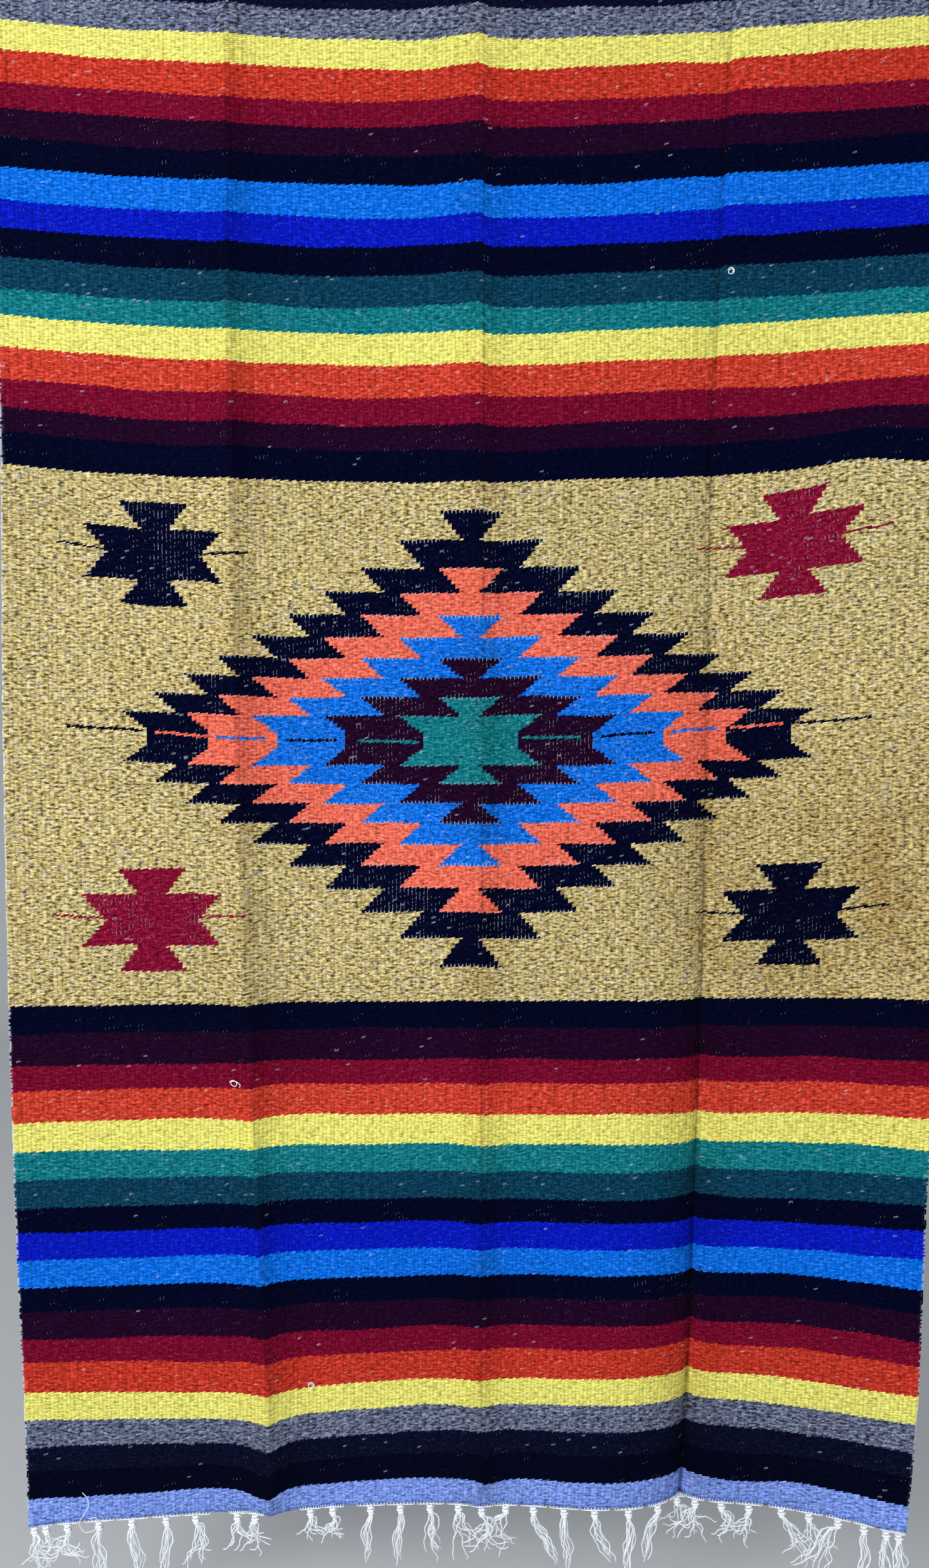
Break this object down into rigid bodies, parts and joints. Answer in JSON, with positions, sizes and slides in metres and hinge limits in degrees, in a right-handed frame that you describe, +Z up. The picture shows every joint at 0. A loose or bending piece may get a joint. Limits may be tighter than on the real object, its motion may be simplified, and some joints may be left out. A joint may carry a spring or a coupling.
{
  "type": "woven mexican blanket",
  "caption": "Woven wool-look blanket hung by its top edge, with lengthwise fold creases and knotted fringes at both ends.",
  "frame": {"origin": "middle of the cloth's top edge, where it is held", "axes": "+X across the cloth towards the right selvedge seen from the front, +Z up along the hanging cloth, and the front faces -Y"},
  "size_m": [1.1897, 0.0873, 2.176],
  "materials": {
    "woven_cloth": "coarse weft-faced plain weave, heathered, matt",
    "cotton_fringe": "knotted undyed cotton warp, matt"
  },
  "bodies": {
    "root": {"blanket_cloth": "woven_cloth", "bottom_fringe": "cotton_fringe", "top_fringe": "cotton_fringe"}
  },
  "joints": []
}
